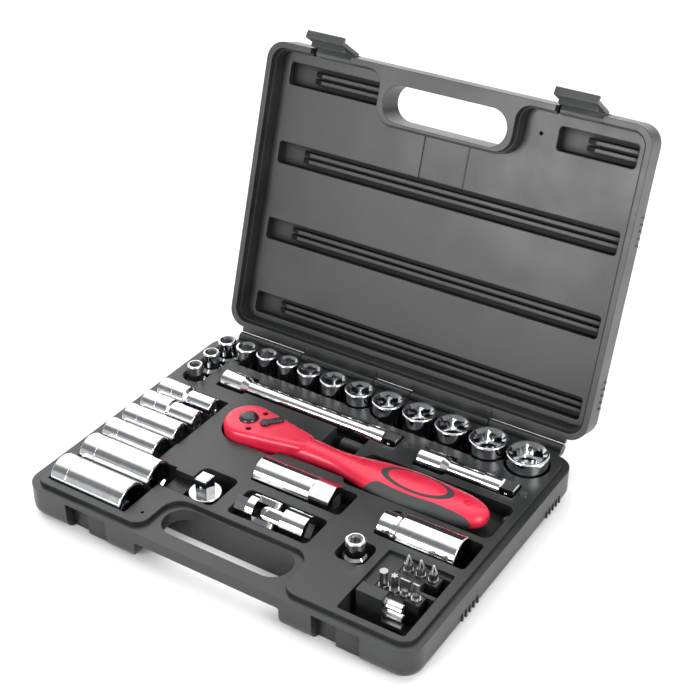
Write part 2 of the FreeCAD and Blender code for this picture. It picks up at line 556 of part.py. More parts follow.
plug_large_tail = [
    rod("plug_large_neck", "plug_large_neck", "plug_large_neck_length", (0, 0, 0)),
    rod("plug_large_ring", "plug_ring", "plug_ring_width",
        (0, 0, "plug_large_neck_length - plug_groove - plug_ring_width"))]
plug_large = plug_socket("plug_large", "plug_large_flats", "plug_large_outside", "plug_large_length",
                         plug_large_tail, "plug_large_neck_length")
PLUG_LARGE_AT = ("plug_large_x", "plug_large_y", PLUG_LARGE_AXIS)
finish("spark_plug_socket_21mm", plug_large, PLUG_LARGE_AT, LYING)
finish("spark_plug_sleeve_21mm",
       sleeve("plug_large_sleeve", "plug_large_flats", "plug_large_neck_length + 4"), PLUG_LARGE_AT, LYING)
SMALL_REACH = "(plug_small_hex / 2 / cos(30) + pocket_clearance)"
LARGE_REACH = "(plug_large_outside / 2 + pocket_clearance)"
pocket("plug_small_pocket",
       (f"plug_small_x - {CLEAR}", f"plug_small_y - {SMALL_REACH}"),
       ("plug_small_x + plug_small_length + 2 * finger_room - 1", f"plug_small_y + {SMALL_REACH}"),
       f"{PLUG_SMALL_AXIS} - plug_small_hex / 2 / cos(30) - floor_clearance", "plug_corner")
pocket("plug_large_pocket",
       (f"plug_large_x - {CLEAR}", f"plug_large_y - {LARGE_REACH}"),
       ("plug_large_x + plug_large_length + 2 * finger_room - 2.5", f"plug_large_y + {LARGE_REACH}"),
       f"{PLUG_LARGE_AXIS} - plug_large_outside / 2 - floor_clearance", "plug_corner")

# Extension bars: a square socket, a slim shaft, a collar and a square stud with a detent bump.
BAR_AXIS = f"({TRAY} + bar_rise - bar_socket / 2)"


def stud(name, bottom, length):
    square = block(name + "_square", ("-drive_square / 2", "-drive_square / 2", bottom),
                   ("drive_square / 2", "drive_square / 2", f"{bottom} + {length}"))
    bump = solid("Part::Sphere", name + "_bump",
                 (0, "-drive_square / 2 + detent_ball / 4", f"{bottom} + {length} / 2"),
                 Radius="detent_ball / 2")
    top = number(f"{bottom} + {length}")
    eased = rounded(name + "_eased", square, (is_level(top), "stud_edge"))
    return [eased, bump]


for label, length, x, y in (("extension_bar_long", "bar_long", "bar_long_x", "bar_long_y"),
                            ("extension_bar_short", "bar_short", "bar_short_x", "bar_short_y")):
    collar = f"({length} - stud_length - bar_collar_length)"
    socket_end = rod(label + "_socket", "bar_socket", "bar_socket_length", (0, 0, 0))
    outer = fuse(label + "_outer", [
        rounded(label + "_socket_eased", socket_end, (is_level(0), "socket_edge")),
        cone(label + "_cone", "bar_socket", "bar_shaft", "bar_cone",
             (0, 0, "bar_socket_length")),
        rod(label + "_shaft", "bar_shaft", f"{length} - stud_length - 1 - bar_socket_length",
            (0, 0, "bar_socket_length")),
        rod(label + "_collar", "bar_collar", "bar_collar_length", (0, 0, collar)),
        *stud(label + "_stud", f"({length} - stud_length - 1)", "(stud_length + 1)"),
    ])
    bar = cut(label, outer, [drive_hole(label + "_drive", -OVER, "drive_depth")])
    finish(label, bar, (x, y, BAR_AXIS), LYING)
    floor = f"{BAR_AXIS} - bar_socket / 2 - floor_clearance"
    wide = "(bar_socket / 2 + bar_side_room)"
    slim = "(bar_collar / 2 + bar_side_room / 2)"
    pocket(label + "_pocket_wide", (f"{x} - bar_end_room", f"{y} - {wide}"),
           (f"{x} + bar_socket_length + bar_cone", f"{y} + {wide}"), floor)
    pocket(label + "_pocket_slim", (f"{x} + bar_socket_length", f"{y} - {slim}"),
           (f"{x} + {length} + {CLEAR}", f"{y} + {slim}"), floor)

# Drive adapter: a round body with a square stud that points up.
ADAPTER_BOTTOM = f"({TRAY} + adapter_rise - adapter_stud - adapter_height)"
adapter_disc = rod("adapter_disc", "adapter_disc", "adapter_height", (0, 0, 0))
adapter_outer = fuse("adapter_outer", [
    rounded("adapter_eased", adapter_disc, (is_level(0), "socket_edge"),
            (is_level(number("adapter_height")), "socket_edge")),
    *stud("adapter_stud", "adapter_height - 1", "(adapter_stud + 1)")])
adapter = cut("adapter", adapter_outer, [drive_hole("adapter_drive", -OVER, "drive_depth")])
finish("drive_adapter", adapter, ("adapter_x", "adapter_y", ADAPTER_BOTTOM))
pocket("adapter_pocket",
       ("adapter_x - adapter_pocket / 2", "adapter_y - adapter_disc / 2 - adapter_room_front"),
       ("adapter_x + adapter_pocket / 2", "adapter_y + adapter_disc / 2 + adapter_room_back"),
       f"{ADAPTER_BOTTOM} - floor_clearance", "adapter_pocket_corner")
pocket("finger_notch",
       ("deep_left_long + deep_length_17", "adapter_y - adapter_disc / 2 - adapter_room_front"),
       ("adapter_x", "adapter_y + adapter_disc / 2 - notch_room"), f"{TRAY} - notch_drop")

# Bit adapter: a square drive below, a six-sided hole for bits on top.
BIT_ADAPTER_BOTTOM = f"({TRAY} + bit_adapter_rise - bit_adapter_height)"
bit_adapter = socket("bit_adapter", "(bit_flats + 2 * bit_fit)", "bit_adapter_head",
                     "bit_adapter_height", "bit_adapter_foot", "bit_adapter_foot_height",
                     "hex_depth")
finish("bit_adapter", bit_adapter, ("bit_adapter_x", "bit_adapter_y", BIT_ADAPTER_BOTTOM))
pocket("bit_adapter_pocket",
       ("bit_adapter_x - bit_adapter_pocket / 2", "bit_adapter_y - bit_adapter_pocket / 2"),
       ("bit_adapter_x + bit_adapter_pocket / 2", "bit_adapter_y + bit_adapter_pocket / 2"),
       f"{BIT_ADAPTER_BOTTOM} - floor_clearance", "bit_adapter_corner")

# Universal joint: two forks on a cross block, its pins at 45 degrees to the tray.
JOINT_AXIS = f"({TRAY} + joint_axis_rise)"
JOINT_TURN = FreeCAD.Rotation(FreeCAD.Vector(1, 0, 0), 45)
ARM_IN = "(joint_block / 2 + joint_block_room)"
ARM_OUT = f"({ARM_IN} + joint_arm)"
JOINT_AT = ("joint_x", "joint_y", JOINT_AXIS)


def fork(name, toward, across, extra):
    # two arms that reach over the cross block; across is the axis that their pins lie on
    pieces = list(extra)
    half = "(joint_arm_width / 2)"
    for index, sign in enumerate(("", "-")):
        near, far = f"{sign}{ARM_IN}", f"{sign}{ARM_OUT}"
        low_side, high_side = (near, far) if sign == "" else (far, near)
        low_x, high_x = ("-joint_reach - 1", "0") if toward < 0 else ("0", "joint_reach + 1")
        if across == "y":
            arm = block(f"{name}_arm_{index}", (low_x, low_side, f"-{half}"), (high_x, high_side, half))
            eye = rod(f"{name}_eye_{index}", "joint_arm_width", "joint_arm", (0, low_side, 0), ALONG_Y)
        else:
            arm = block(f"{name}_arm_{index}", (low_x, f"-{half}", low_side), (high_x, half, high_side))
            eye = rod(f"{name}_eye_{index}", "joint_arm_width", "joint_arm", (0, 0, low_side))
        pieces += [arm, eye]
    whole = fuse(name + "_whole", pieces)
    hole_size = "(joint_pin + 2 * joint_pin_fit)"
    span = f"2 * {ARM_OUT} + 2 * {OVER}"
    start = f"-{ARM_OUT} - {OVER}"
    if across == "y":
        hole = rod(name + "_hole", hole_size, span, (0, start, 0), ALONG_Y)
    else:
        hole = rod(name + "_hole", hole_size, span, (0, 0, start))
    round_limit = rod(name + "_limit", "joint_outside", "200", (-100, 0, 0), LYING)
    return cut(name, common(name + "_turned", whole, round_limit), [hole])


male_square = block("male_square", ("-joint_reach - joint_stem - stud_length",
                                    "-drive_square / 2", "-drive_square / 2"),
                    ("-joint_reach - 1", "drive_square / 2", "drive_square / 2"))
male_bump = solid("Part::Sphere", "male_bump",
                  ("-joint_reach - joint_stem - stud_length / 2",
                   "-drive_square / 2 + detent_ball / 4", 0), Radius="detent_ball / 2")
male_disc = rod("male_disc", "joint_outside - 1", "joint_stem",
                ("-joint_reach - joint_stem", 0, 0), LYING)
male_fork = fork("male_fork", -1, "y", [male_square, male_bump, male_disc])
finish("universal_joint_stud_fork", male_fork, JOINT_AT, JOINT_TURN)
female_disc = rod("female_disc", "joint_outside", "joint_body", ("joint_reach", 0, 0), LYING)
female_square = "(drive_square + 2 * drive_clearance)"
female_fork = fork("female_fork", 1, "z", [female_disc])
female_body = cut("female_body", female_fork, [block(
    "female_drive",
    ("joint_reach + joint_body - drive_depth", f"-{female_square} / 2", f"-{female_square} / 2"),
    (f"joint_reach + joint_body + {OVER}", f"{female_square} / 2", f"{female_square} / 2"))])
finish("universal_joint_socket_fork", female_body, JOINT_AT, JOINT_TURN)
cross_cube = block("cross_cube", ["-joint_block / 2"] * 3, ["joint_block / 2"] * 3)
cross_limit = solid("Part::Sphere", "cross_limit", (0, 0, 0), Radius="joint_block * 0.72")
cross_block = cut("cross_block", common("cross_turned", cross_cube, cross_limit), [
    rod("cross_bore_y", "joint_pin", "joint_block + 2", (0, "-joint_block / 2 - 1", 0), ALONG_Y),
    rod("cross_bore_z", "joint_pin", "joint_block + 2", (0, 0, "-joint_block / 2 - 1"))])
pin_reach = f"({ARM_OUT} - 1)"
cross_pins = fuse("cross_pins", [
    rod("cross_pin_y", "joint_pin", f"2 * {pin_reach}", (0, f"-{pin_reach}", 0), ALONG_Y),
    rod("cross_pin_z", "joint_pin", f"2 * {pin_reach}", (0, 0, f"-{pin_reach}"))])
finish("universal_joint_cross", compound("cross", [cross_block, cross_pins]), JOINT_AT, JOINT_TURN)
JOINT_SIDE = "(joint_outside / 2 + joint_side_room)"
pocket("joint_pocket",
       (f"joint_x - joint_reach - joint_stem - stud_length - {CLEAR}", f"joint_y - {JOINT_SIDE}"),
       ("joint_x + joint_reach + joint_body + finger_room + 1", f"joint_y + {JOINT_SIDE}"),
       f"{JOINT_AXIS} - joint_outside / 2 - floor_clearance", "joint_corner")

# Screwdriver bits: six-sided shanks with different tips, held by three black rails.
BIT_BOTTOM = f"({TRAY} + bit_rise - bit_length)"
RAIL_TOP = f"({BIT_BOTTOM} + bit_grip)"


def bit(name, tip, blade="blade_wide"):
    pieces = [prism(name + "_shank", 6, "bit_flats", "bit_shank", (0, 0, 0))]
    tip_length = "(bit_length - bit_shank)"
    if tip == "cross":
        pieces.append(rod(name + "_neck", "bit_neck + 1", f"{tip_length} / 2", (0, 0, "bit_shank")))
        pieces.append(cone(name + "_cone", "bit_neck + 1", "bit_point", f"{tip_length} / 2",
                           (0, 0, f"bit_shank + {tip_length} / 2")))
        flutes = []
        for index in range(4):
            angle = 45 + 90 * index
            turn = FreeCAD.Rotation(FreeCAD.Vector(0, 0, 1), angle)
            flute_at = (f"flute_offset * cos({angle})", f"flute_offset * sin({angle})",
                        f"bit_shank + {tip_length} * 0.45")
            flutes.append(prism(f"{name}_flute_{index}", 4, "flute_size", tip_length, flute_at, turn))
        return cut(name, fuse(name + "_blank", pieces), flutes)
    if tip == "slot":
        pieces.append(rod(name + "_neck", "bit_neck", f"{tip_length} * 0.3", (0, 0, "bit_shank")))
        pieces.append(block(name + "_blade",
                            (f"-{blade} / 2", "-bit_blade / 2", f"bit_shank + {tip_length} * 0.2"),
                            (f"{blade} / 2", "bit_blade / 2", "bit_length")))
    if tip == "hex":
        pieces.append(prism(name + "_key", 6, "bit_key", tip_length, (0, 0, "bit_shank")))
    if tip == "star":
        pieces.append(prism(name + "_star_a", 3, "bit_key / 2", tip_length, (0, 0, "bit_shank")))
        pieces.append(prism(name + "_star_b", 3, "bit_key / 2", tip_length, (0, 0, "bit_shank"),
                            FreeCAD.Rotation(FreeCAD.Vector(0, 0, 1), 180)))
    return fuse(name, pieces)


def rail(name, count, pitch):
    # sockets for the bits open on top; the rail runs along X, its top face at zero
    length = f"({count - 1} * {pitch} + 2 * rail_margin)"
    body = block(name + "_bar", (f"-{length} / 2", "-rail_width / 2", "-rail_height"),
                 (f"{length} / 2", "rail_width / 2", 0))
    holes = [prism(f"{name}_hole_{index}", 6, "bit_flats + 2 * bit_fit", f"bit_grip + {OVER} + bit_fit",
                   (f"({index} - {(count - 1) / 2}) * {pitch}", 0, "-bit_grip - bit_fit"))
             for index in range(count)]
    return cut(name, body, holes), length


rails = []
for row, tips in (("back", ("cross", "cross", "cross")), ("middle", ("hex", "star", "slot", "slot"))):
    count = len(tips)
    x, y, pitch = f"{row}_rail_x", f"{row}_rail_y", f"{row}_bit_pitch"
    body, length = rail(f"{row}_rail", count, pitch)
    rails.append(place(body, (x, y, RAIL_TOP)))
    for index, tip in enumerate(tips):
        blade = "blade_narrow" if index == count - 1 else "blade_wide"
        finish(f"bit_{row}_{index + 1}_{tip}", bit(f"bit_{row}_{index + 1}", tip, blade),
               (f"{x} + ({index} - {(count - 1) / 2}) * {pitch}", y, BIT_BOTTOM))
    slot_floor = f"{RAIL_TOP} - rail_height"
    slot_end = ("shelf_right", f"{y} + rail_width / 2 + rail_clearance")
    pocket(f"{row}_rail_slot",
           (f"{x} - {length} / 2 - rail_clearance", f"{y} - rail_width / 2 - rail_clearance"),
           slot_end, slot_floor, "rail_corner")
    pocket(f"{row}_rail_pit", (f"{x} + {row}_pit_start", f"{y} - rail_width / 2 - pit_room"),
           slot_end, slot_floor, "rail_corner")
finish("bit_rails", compound("rail_pair", rails))

front_body, front_length = rail("front_rail", 3, "front_bit_pitch")
FRONT_RAIL_MIDDLE = f"(front_rail_floor + floor_clearance + {front_length} / 2)"
finish("bit_rail_front", front_body, ("front_rail_x", "front_rail_y", FRONT_RAIL_MIDDLE), LYING)
front_bits = []
for index, tip in enumerate(("star", "star", "hex")):
    front_bits.append(place(bit(f"bit_front_{index + 1}", tip),
                            ("front_rail_x - bit_grip", "front_rail_y",
                             f"{FRONT_RAIL_MIDDLE} - ({index} - 1) * front_bit_pitch"), LYING))
finish("bits_front", compound("front_bits", front_bits))
pocket("bit_shelf", ("shelf_left", "shelf_front"), ("shelf_right", "shelf_back"), f"{TRAY} - shelf_drop")
pocket("bit_front_hollow", ("shelf_left", "shelf_front"), ("shelf_right", "shelf_deep_edge"),
       "front_rail_floor")

# Ratchet: a drop-shaped head with gear, pawl and reversing lever, and a handle with soft grips.
RATCHET_Z = f"({TRAY} - ratchet_drop)"
RATCHET_AT = ("ratchet_x", "ratchet_y", RATCHET_Z)
HEAD_HEIGHT = "(head_top + head_bottom)"
TAPER = "((head_radius - tail_radius) / tail_reach)"
FLANK = f"sqrt(1 - {TAPER} * {TAPER})"  # the flanks touch both discs, so they start beside their middles
head_flanks = solid("Part::Wedge", "head_flanks", (0, 0, 0), ACROSS,
                    Xmin=f"-head_radius * {FLANK}", Xmax=f"head_radius * {FLANK}",
                    X2min=f"-tail_radius * {FLANK}", X2max=f"tail_radius * {FLANK}",
                    Ymin=f"head_radius * {TAPER}", Ymax=f"tail_reach + tail_radius * {TAPER}",
                    Zmin="-head_bottom", Z2min="-head_bottom", Zmax="head_top", Z2max="head_top")
head_drop = fuse("head_drop", [
    head_flanks,
    rod("head_disc", "2 * head_radius", HEAD_HEIGHT, (0, 0, "-head_bottom")),
    rod("tail_disc", "2 * tail_radius", HEAD_HEIGHT, ("tail_reach", 0, "-head_bottom"))])
head = rounded("head", head_drop, (is_level(number("head_top")), "head_edge"),
               (is_level(number("-head_bottom")), "head_foot_edge"))
sections = []
for name in HANDLE_SECTIONS:
    sections.append(solid("Part::Ellipse", f"handle_section_{name}",
                          (f"section_at_{name}", 0, 0), FACING_X,
                          MajorRadius=f"section_wide_{name}", MinorRadius=f"section_high_{name}"))
handle_loft = doc.addObject("Part::Loft", "handle_loft")
handle_loft.Sections = sections
handle_loft.Solid = True
ratchet_whole = fuse("ratchet_whole", [head, handle_loft])
ratchet_whole.Refine = False


def oval(name, half_length, half_width, bottom, top):
    outline = solid("Part::Ellipse", name + "_outline", ("badge_x", 0, bottom),
                    MajorRadius=half_length, MinorRadius=half_width)
    item = doc.addObject("Part::Extrusion", name)
    item.Base = outline
    item.DirMode = "Custom"
    item.Dir = FreeCAD.Vector(0, 0, 1)
    bind(item, "LengthFwd", f"({top}) - ({bottom})")
    item.Solid = True
    return item


def grip_region(name, sign):
    # a flank of the handle, with round ends
    near, far = "grip_inset", "(section_wide_07 + 6)"
    low, high = (near, far) if sign > 0 else (f"-{far}", f"-{near}")
    top = number("grip_top")
    whole = block(name + "_box", ("grip_start", low, "-2 * section_high_07"),
                  ("grip_end", high, "grip_top"))
    return rounded(name, whole, (
        lambda edge: is_level(top)(edge) and abs(edge.Vertexes[0].X - edge.Vertexes[-1].X) < 1e-6,
        "grip_round"))


BADGE_LOW = "(section_high_07 - badge_sink)"
BADGE_HIGH = "(section_high_07 + 3)"
grip_regions = [grip_region(f"grip_region_{side}", sign) for side, sign in (("back", 1), ("front", -1))]
badge_region = cut(
    "badge_region", oval("badge_outer", "badge_half_length", "badge_half_width", BADGE_LOW, BADGE_HIGH),
    [oval("badge_inner", "badge_inner_length", "badge_inner_width", "0", f"{BADGE_HIGH} + {OVER}")])
soft_pieces = [common(f"soft_{region.Name}", handle_loft, region) for region in [*grip_regions, badge_region]]

GEAR_TOP = "(gear_height - gear_bottom)"
COVER_LOW = "(-head_bottom + cover_proud)"
COVER_TOP = f"({COVER_LOW} + cover_thickness)"
BUTTON_FLOOR = "(head_top - button_height - button_travel)"
LEVER_LOW = "(head_top + lever_float)"
lever_bore = rod("lever_bore", "lever_shaft + 2 * pawl_fit", "head_top + 20", ("lever_x", 0, "-2"))
ratchet_cuts = [
    *grip_regions,
    badge_region,
    rod("dimple", "2 * dimple_radius", 10,
        ("dimple_x", 0, "section_high_09 - dimple_depth - 0.4")),
    rod("gear_room", "2 * (gear_radius + gear_room)", f"{GEAR_TOP} + gear_room - {COVER_TOP} + 1",
        (0, 0, f"{COVER_TOP} - 1")),
    rod("cover_seat", "2 * (cover_radius + cover_fit)", f"{COVER_TOP} + head_bottom + {OVER}",
        (0, 0, f"-head_bottom - {OVER}")),
    rod("button_well", "2 * (button_radius + button_fit)", 20, (0, 0, BUTTON_FLOOR)),
    rod("stem_hole", "button_stem + 4 * button_fit", 20, (0, 0, "-2")),
    lever_bore,
    block("pawl_room", ("lever_x - pawl_front - pawl_room", "-pawl_width / 2 - pawl_room", COVER_TOP),
          ("lever_x + pawl_depth - pawl_front + pawl_room", "pawl_width / 2 + pawl_room",
           f"{GEAR_TOP} + gear_room")),
]
for side, sign in (("back", ""), ("front", "-")):
    y = f"{sign}screw_spread"
    ratchet_cuts.append(rod(f"screw_sink_{side}", "screw_head + 0.3", 20,
                            ("screw_x", y, "head_top - screw_sink - screw_head_height")))
    ratchet_cuts.append(rod(f"screw_hole_{side}", "screw_shank + 0.1", 30, ("screw_x", y, COVER_TOP)))
finish("ratchet_handle", cut("ratchet_body", ratchet_whole, ratchet_cuts), RATCHET_AT)
finish("ratchet_grips", compound("grips", soft_pieces), RATCHET_AT)

gear_teeth = []
for index in range(9):
    turn = FreeCAD.Rotation(FreeCAD.Vector(0, 0, 1), 10 * index)
    gear_teeth.append(prism(f"gear_teeth_{index}", 4, "2 * gear_radius * cos(45)", "gear_height",
                            (0, 0, "-gear_bottom"), turn))
gear_stud = block("gear_square",
                  ("-drive_square / 2", "-drive_square / 2", "-head_bottom - stud_length"),
                  ("drive_square / 2", "drive_square / 2", "-head_bottom"))
gear_bump = solid("Part::Sphere", "gear_bump",
                  (0, "-drive_square / 2 + detent_ball / 4", "-head_bottom - stud_length / 2"),
                  Radius="detent_ball / 2")
gear_blank = fuse("gear_blank", [*gear_teeth, gear_stud, gear_bump,
                                 rod("gear_hub", "2 * hub_radius", "head_bottom - gear_bottom + 2",
                                     (0, 0, "-head_bottom"))])
gear = cut("gear", gear_blank, [rod("gear_bore", "gear_bore", 40, (0, 0, "-head_bottom - 6"))])
finish("ratchet_drive_gear", gear, RATCHET_AT)

cover = cut("cover", rod("cover_disc", "2 * cover_radius", "cover_thickness", (0, 0, COVER_LOW)), [
    rod("cover_hole", "2 * (hub_radius + 2 * cover_fit)", 20, (0, 0, "-head_bottom - 2")),
    *[rod(f"cover_screw_{side}", "screw_shank", 20,
          ("screw_x", f"{sign}screw_spread", "-head_bottom - 2"))
      for side, sign in (("back", ""), ("front", "-"))]])
finish("ratchet_cover", cover, RATCHET_AT)

button_blank = rod("button_blank", "2 * button_radius", "button_height + button_dome",
                   (0, 0, "head_top - button_height"))
button_cap = rounded("button_cap", button_blank,
                     (is_level(number("head_top + button_dome")), "button_dome + 0.8"))
button_stem = rod("button_stem", "button_stem", "head_top - button_height + gear_bottom + 4",
                  (0, 0, "-gear_bottom - 3"))
finish("ratchet_release_button", fuse("button", [button_cap, button_stem]), RATCHET_AT)

lever_hub = rod("lever_hub", "2 * lever_hub", "lever_thickness", (0, 0, LEVER_LOW))
lever_end = rod("lever_end", "2 * lever_tip", "lever_thickness", ("lever_reach - lever_tip", 0, LEVER_LOW))
lever_arm = block("lever_arm", (0, "-lever_tip", LEVER_LOW),
                  ("lever_reach - lever_tip", "lever_tip", f"{LEVER_LOW} + lever_thickness"))
lever_post = rod("lever_post", "lever_shaft", f"{LEVER_LOW} + gear_bottom + 1",
                 (0, 0, "-gear_bottom + 0.2"))
lever_plate = rounded("lever_plate", fuse("lever_blank", [lever_hub, lever_end, lever_arm]),
                      (is_level(number(f"{LEVER_LOW} + lever_thickness")), "lever_edge"))
lever = finish("ratchet_reversing_lever", fuse("lever", [lever_plate, lever_post]),
               ("ratchet_x + lever_x", "ratchet_y", RATCHET_Z))
lever.Placement.Rotation.Axis = FreeCAD.Vector(0, 0, 1)
bind(lever, "Placement.Rotation.Angle", "lever_angle")

pawl_half = "(pawl_width / 2)"
pawl_block = block("pawl_block", ("-pawl_front", f"-{pawl_half}", "-gear_bottom + 0.3"),
                   ("pawl_depth - pawl_front", pawl_half, f"{GEAR_TOP} - 0.3"))
pawl = finish("ratchet_pawl", cut("pawl", pawl_block, [
    rod("pawl_bore", "lever_shaft + 2 * pawl_fit", 40, (0, 0, -20))]),
    ("ratchet_x + lever_x", "ratchet_y", RATCHET_Z))
pawl.Placement.Rotation.Axis = FreeCAD.Vector(0, 0, 1)
bind(pawl, "Placement.Rotation.Angle", "pawl_angle")

screw_bodies = []
for side, sign in (("back", ""), ("front", "-")):
    y = f"{sign}screw_spread"
    head_low = "(head_top - screw_sink - screw_head_height)"
    screw_head = rod(f"screw_head_{side}", "screw_head", "screw_head_height", ("screw_x", y, head_low))
    shank = rod(f"screw_shank_{side}", "screw_shank", f"{head_low} - {COVER_LOW}", ("screw_x", y, COVER_LOW))
    recess = prism(f"screw_recess_{side}", 6, "screw_key", OVER,
                   ("screw_x", y, f"{head_low} + screw_head_height - screw_key / 2"))
    screw_bodies.append(cut(f"screw_{side}", fuse(f"screw_blank_{side}", [screw_head, shank]), [recess]))
finish("ratchet_screws", compound("screws", screw_bodies), RATCHET_AT)

HEAD_SIDE = "(head_radius + head_room)"
RATCHET_FLOOR = f"{RATCHET_Z} - head_bottom - floor_clearance"
tray_cuts.append(rod("head_pocket", f"2 * {HEAD_SIDE}", f"{CUT_TOP} - ({RATCHET_FLOOR})",
                     ("ratchet_x", "ratchet_y", RATCHET_FLOOR)))
tray_cuts.append(rod("stud_well", "2 * well_radius", 30,
                     ("ratchet_x", "ratchet_y", f"{RATCHET_FLOOR} - stud_length - 0.7")))
pocket("head_tail_pocket",
       ("ratchet_x", "ratchet_y - section_wide_01 - tail_room"),
       ("ratchet_x + section_at_03 - 2", "ratchet_y + section_wide_01 + tail_room"),
       RATCHET_FLOOR, "joint_corner")
pocket("neck_pocket",
       ("ratchet_x", "ratchet_y - section_wide_03 - neck_room"),
       ("handle_pocket_left + 6", "ratchet_y + section_wide_03 + neck_room"), RATCHET_FLOOR,
       "joint_corner")
pocket("handle_pocket", ("handle_pocket_left", "handle_pocket_front"),
       ("handle_pocket_right", "handle_pocket_back"),
       f"{RATCHET_Z} - section_high_07 - floor_clearance - 0.5", "handle_corner")
pocket("finger_hollow", ("hollow_left", "hollow_front"), ("hollow_right", "hollow_back"),
       f"{TRAY} - hollow_drop", "plug_corner")

tray_bumps.append(rod("hollow_bar", "2 * hollow_bar_radius", "hollow_right - hollow_left - 7",
                      ("hollow_left + 9", "hollow_bar_y", f"{TRAY} - hollow_bar_drop"), LYING))
tray_bumps.append(solid("Part::Sphere", "handle_nub",
                        ("handle_pocket_right", "handle_nub_y", f"{TRAY} - nub_radius"),
                        Radius="nub_radius"))

# The tray is finished once every tool has its place. It is one moulding with the shell and is drawn
# as four fields, so that each field keeps its own hollows; their seams run between the hollows.
nubs = [solid("Part::Sphere", f"nub_{index}", (x, y, f"{TRAY} + nub_rise - nub_radius"),
              Radius="nub_radius")
        for index, (x, y) in enumerate((
            ("bar_long_x + bar_long + 6", "bar_long_y"),
            ("bar_short_x + bar_short + 5.5", "bar_short_y")))]
tray_hollowed = cut("tray_hollowed", fuse("tray_whole", [tray_block, *nubs]), tray_cuts)
tray = fuse("tray", [tray_hollowed, *tray_bumps])
SEAM_BACK = "((handle_pocket_back + bar_short_y - bar_socket / 2 - bar_side_room) / 2)"
SEAM_FRONT = f"((ratchet_y - {HEAD_SIDE} + plug_small_y + {SMALL_REACH}) / 2)"
SEAM_LEFT_BACK = f"((deep_left_short + deep_length_08 + finger_room + ratchet_x - {HEAD_SIDE}) / 2)"
SEAM_LEFT_FRONT = "((deep_left_long + deep_length_17 + finger_room + adapter_x - adapter_pocket / 2) / 2)"
for name, areas in (
        ("back", ((f"-{HALF}", SEAM_BACK, HALF, BACK),)),
        ("left", ((f"-{HALF}", SEAM_FRONT, SEAM_LEFT_BACK, SEAM_BACK),
                  (f"-{HALF}", FRONT, SEAM_LEFT_FRONT, SEAM_FRONT))),
        ("middle", ((SEAM_LEFT_BACK, SEAM_FRONT, HALF, SEAM_BACK),)),
        ("front", ((SEAM_LEFT_FRONT, FRONT, HALF, SEAM_FRONT),))):
    boxes = [block(f"tray_area_{name}_{index}", (left, front, 0), (right, back, CUT_TOP))
             for index, (left, front, right, back) in enumerate(areas)]
    area = boxes[0] if len(boxes) == 1 else fuse(f"tray_area_{name}", boxes)
    finish(f"tray_{name}", common(f"tray_field_{name}", tray, area))

# The lid is drawn closed about the hinge axis and then swung open.
LID_SHIFT = f"(-{HINGE_Y})"
LID_FRONT = f"({FRONT} + {LID_SHIFT})"
LID_BACK = "(-hinge_offset)"
lid_block = block("lid_block", (f"-{HALF}", LID_FRONT, "lid_gap"), (HALF, LID_BACK, "lid_depth"))
lid_shell = rounded("lid_shell", lid_block, (is_upright, "corner_radius"),
                    (is_level(number("lid_depth")), "lid_rounding"))
PANEL_INSET = "(lid_seat - lid_step)"
PANEL_BACK = "(lid_depth - lid_skin)"
panel_block = field("panel_block", PANEL_INSET, LID_SHIFT, "lid_panel_depth", PANEL_BACK)
lid_cuts = [
    field("lid_seat_field", "lid_seat", LID_SHIFT, -OVER, "lid_seat_depth"),
    field("panel_room", PANEL_INSET, LID_SHIFT, -OVER, PANEL_BACK),
    capsule("lid_slot", "slot_length", "slot_width",
            ("0", f"({LID_FRONT} + handle_bar + slot_width / 2)"), -OVER, f"lid_depth + {OVER}"),
    rod("lid_pin_bore", "hinge_pin + 2 * hinge_fit", f"2 * hinge_half_length + 2 * {OVER}",
        (f"-hinge_half_length - {OVER}", 0, 0), LYING),
]
panel_cuts = [rod("lid_blow_hole", "blow_hole", 5,
                  ("lid_hole_x", f"{LID_BACK} - lid_hole_reach", "lid_panel_depth - 1"))]
CHANNEL_LOW = "(lid_panel_depth - 1)"
CHANNEL_FLOOR = "(lid_panel_depth + channel_depth)"
ridges = []
channel_runs = [(f"row_{index}", f"(channel_first + {index} * channel_pitch)",
                 "-channel_reach", "channel_reach") for index in range(3)]
FRONT_ROW = "(channel_first + 3 * channel_pitch)"
channel_runs.append(("row_3_left", FRONT_ROW, "-channel_reach", "-channel_reach + front_channel_left"))
channel_runs.append(("row_3_right", FRONT_ROW, "channel_reach - front_channel_right", "channel_reach"))
for name, reach, left, right in channel_runs:
    middle = f"({LID_BACK} - {reach})"
    channel_box = block(f"channel_{name}_box", (left, f"{middle} - channel_width / 2", CHANNEL_LOW),
                        (right, f"{middle} + channel_width / 2", CHANNEL_FLOOR))
    panel_cuts.append(rounded(f"channel_{name}", channel_box, (is_upright, "channel_corner")))
    for index, sign in enumerate(("-", "+")):
        ridge_y = f"{middle} {sign} ridge_spacing / 2"
        ridge_top = f"{CHANNEL_FLOOR} - ridge_height"
        ridge_box = block(f"ridge_{name}_{index}_box",
                          (f"{left} + ridge_start", f"{ridge_y} - ridge_width / 2", ridge_top),
                          (f"{right} + 0.5", f"{ridge_y} + ridge_width / 2", f"{CHANNEL_FLOOR} + 0.5"))
        ridges.append(sloped(f"ridge_{name}_{index}", ridge_box, f"{left} + ridge_start", ridge_top))
STRIP_START = f"({LID_BACK} - channel_first - 2 * channel_pitch - channel_width / 2)"
panel_cuts.append(block("panel_strip",
                        ("-panel_strip / 2", f"{SLOT_BACK} + {LID_SHIFT} + bay_margin - 1",
                         "lid_panel_depth - 1"),
                        ("panel_strip / 2", f"{STRIP_START} + 1", "lid_panel_depth + panel_strip_depth")))
LATCH_Y = f"({LID_FRONT} + latch_inset)"
LATCH_Z = "latch_pivot_height"
PIN_LENGTH = "(latch_recess + 2 * latch_pin_bury)"
